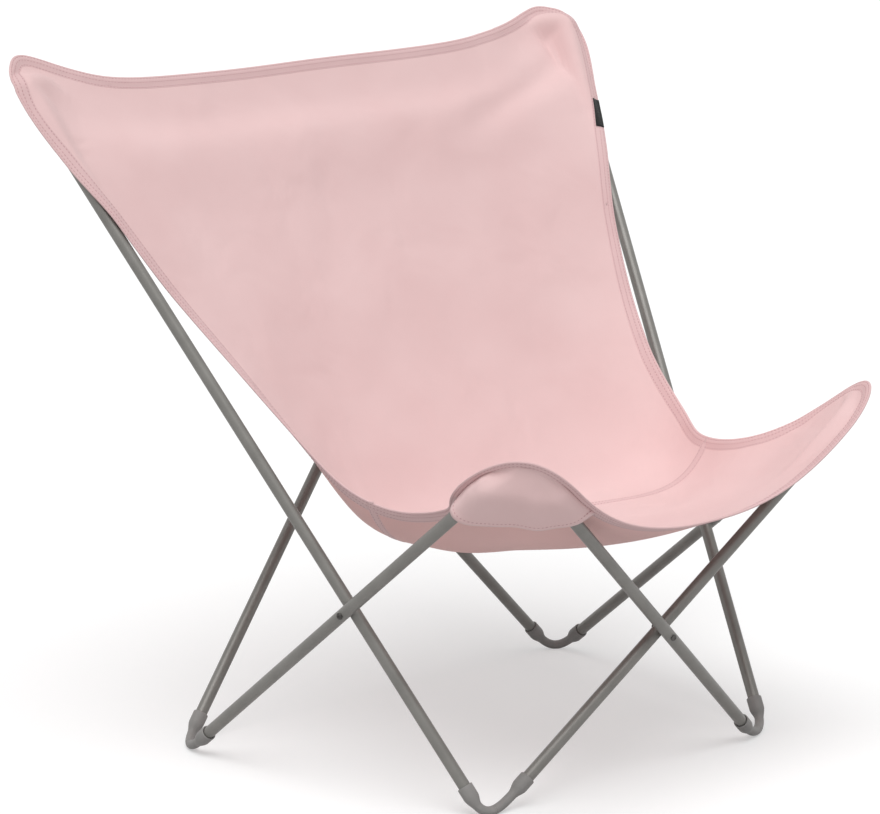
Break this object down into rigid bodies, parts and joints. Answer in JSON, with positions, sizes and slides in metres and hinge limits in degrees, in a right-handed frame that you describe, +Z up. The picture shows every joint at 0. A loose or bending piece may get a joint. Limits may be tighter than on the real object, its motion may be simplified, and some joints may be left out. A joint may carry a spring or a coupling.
{
  "type": "folding butterfly sling chair",
  "caption": "Folding butterfly chair: crossed steel tubes with flexible U-shaped feet and tips carry a two-panel canvas sling by sewn corner pockets.",
  "frame": {"origin": "On the floor, under the middle of the opened chair's bounding box.", "axes": "+X is to the right for a viewer facing the front of the chair, +Y is the back of the chair, +Z is up; the sitter faces -Y. Metres."},
  "size_m": [1.0152, 0.8396, 0.9228],
  "materials": {
    "tube_paint": "satin grey powder coat",
    "rivet_steel": "dark hollow rivet",
    "spacer_nylon": "black nylon washer",
    "connector_plastic": "moulded grey flexible plastic",
    "canvas": "plain-woven pale pink cotton canvas",
    "tag_ribbon": "blank black ribbon"
  },
  "bodies": {
    "rear_left_foot": {"foot_rear_left": "connector_plastic"},
    "left_short": {"tube_left_short": "tube_paint", "rivet_left": "rivet_steel", "spacer_left": "spacer_nylon", "tip_front_left": "connector_plastic"},
    "back_outer": {"tube_back_outer": "tube_paint"},
    "left_long": {"tube_left_long": "tube_paint", "tip_back_left": "connector_plastic"},
    "front_left_foot": {"foot_front_left": "connector_plastic"},
    "front_inner": {"tube_front_inner": "tube_paint"},
    "front_outer": {"tube_front_outer": "tube_paint", "rivet_front": "rivet_steel", "spacer_front": "spacer_nylon"},
    "front_right_foot": {"foot_front_right": "connector_plastic"},
    "right_long": {"tube_right_long": "tube_paint", "tip_back_right": "connector_plastic"},
    "right_short": {"tube_right_short": "tube_paint", "rivet_right": "rivet_steel", "spacer_right": "spacer_nylon", "tip_front_right": "connector_plastic"},
    "rear_right_foot": {"foot_rear_right": "connector_plastic"},
    "back_rivet": {"rivet_back": "rivet_steel", "spacer_back": "spacer_nylon"},
    "back_inner": {"tube_back_inner": "tube_paint"},
    "sling_back": {"sling_back_panel": "canvas", "pocket_back_left": "canvas", "pocket_back_right": "canvas", "label_tag": "tag_ribbon"},
    "sling_seat": {"sling_seat_panel": "canvas", "pocket_front_left": "canvas", "pocket_front_right": "canvas"}
  },
  "joints": [
    {"name": "left_short_bend", "type": "hinge", "parent": "rear_left_foot", "child": "left_short", "pos_m": [-0.32793, 0.20791, 0.032], "axis": [-0.9971, 0.0129, -0.0754], "range_deg": [0, 51.9]},
    {"name": "back_outer_bend", "type": "hinge", "parent": "rear_left_foot", "child": "back_outer", "pos_m": [-0.32793, 0.20791, 0.032], "axis": [0.2075, -0.9751, 0.0781], "range_deg": [0, 43.2]},
    {"name": "left_scissor", "type": "hinge", "parent": "left_short", "child": "left_long", "pos_m": [-0.33691, -0.08848, 0.249], "axis": [0.9773, 0.1468, 0.1524], "range_deg": [0, 85.35], "deforming": ["foot_rear_left", "foot_rear_right", "foot_front_left", "foot_front_right", "tip_back_left", "tip_back_right", "tip_front_left", "tip_front_right", "sling_back_panel", "sling_seat_panel", "pocket_back_left", "pocket_back_right", "pocket_front_left", "pocket_front_right", "label_tag"]},
    {"name": "front_left_foot_bend", "type": "hinge", "parent": "left_long", "child": "front_left_foot", "pos_m": [-0.23239, -0.24785, 0.006], "axis": [-0.9236, -0.3762, -0.0743], "range_deg": [0, 37.2]},
    {"name": "front_inner_bend", "type": "hinge", "parent": "front_left_foot", "child": "front_inner", "pos_m": [-0.23239, -0.24785, 0.006], "axis": [-0.29, -0.9483, -0.129], "range_deg": [0, 51.3]},
    {"name": "front_scissor", "type": "hinge", "parent": "front_inner", "child": "front_outer", "pos_m": [-0.00091, -0.31848, 0.202], "axis": [0, 0.9637, 0.267], "range_deg": [0, 96.9]},
    {"name": "front_right_foot_bend", "type": "hinge", "parent": "front_outer", "child": "front_right_foot", "pos_m": [0.23057, -0.25676, 0.006], "axis": [0.29, -0.9483, -0.129], "range_deg": [0, 51.3]},
    {"name": "right_long_bend", "type": "hinge", "parent": "front_right_foot", "child": "right_long", "pos_m": [0.23057, -0.25676, 0.006], "axis": [0.9236, -0.3762, -0.0743], "range_deg": [0, 37.2]},
    {"name": "right_scissor", "type": "hinge", "parent": "right_long", "child": "right_short", "pos_m": [0.33509, -0.08848, 0.249], "axis": [-0.9773, 0.1468, 0.1524], "range_deg": [0, 86.4]},
    {"name": "rear_right_foot_bend", "type": "hinge", "parent": "right_short", "child": "rear_right_foot", "pos_m": [0.32611, 0.19877, 0.032], "axis": [0.9971, 0.0129, -0.0754], "range_deg": [0, 51.9]},
    {"name": "back_rivet_turn", "type": "hinge", "parent": "back_outer", "child": "back_rivet", "pos_m": [-0.00091, 0.29052, 0.377], "axis": [0, 0.9872, -0.1592], "range_deg": [0, 42.3]},
    {"name": "back_scissor", "type": "hinge", "parent": "back_rivet", "child": "back_inner", "pos_m": [-0.00091, 0.29052, 0.377], "axis": [0, 0.9872, -0.1592], "range_deg": [0, 42.3]},
    {"name": "sling_back_sway", "type": "hinge", "parent": "back_rivet", "child": "sling_back", "pos_m": [-0.00091, 0.03324, 0.98901], "axis": [1, 0, 0], "range_deg": [0, 28.3]},
    {"name": "sling_seat_fold", "type": "hinge", "parent": "sling_back", "child": "sling_seat", "pos_m": [-0.00091, -0.06091, 0.30813], "axis": [-1, 0, 0], "range_deg": [0, 97]}
  ],
  "couplings": [
    {"joint": "left_short_bend", "follows": "left_scissor", "ratio": 0.59689},
    {"joint": "back_outer_bend", "follows": "left_scissor", "ratio": 0.49466},
    {"joint": "front_left_foot_bend", "follows": "left_scissor", "ratio": 0.42367},
    {"joint": "front_inner_bend", "follows": "left_scissor", "ratio": 0.58876},
    {"joint": "front_scissor", "follows": "left_scissor", "ratio": 1.1237},
    {"joint": "front_right_foot_bend", "follows": "left_scissor", "ratio": 0.58876},
    {"joint": "right_long_bend", "follows": "left_scissor", "ratio": 0.42367},
    {"joint": "right_scissor", "follows": "left_scissor", "ratio": 1},
    {"joint": "rear_right_foot_bend", "follows": "left_scissor", "ratio": 0.59689},
    {"joint": "back_rivet_turn", "follows": "left_scissor", "ratio": 0.48339},
    {"joint": "back_scissor", "follows": "left_scissor", "ratio": 0.48339},
    {"joint": "sling_back_sway", "follows": "left_scissor", "ratio": 0.3204},
    {"joint": "sling_seat_fold", "follows": "left_scissor", "ratio": 1.1248}
  ]
}
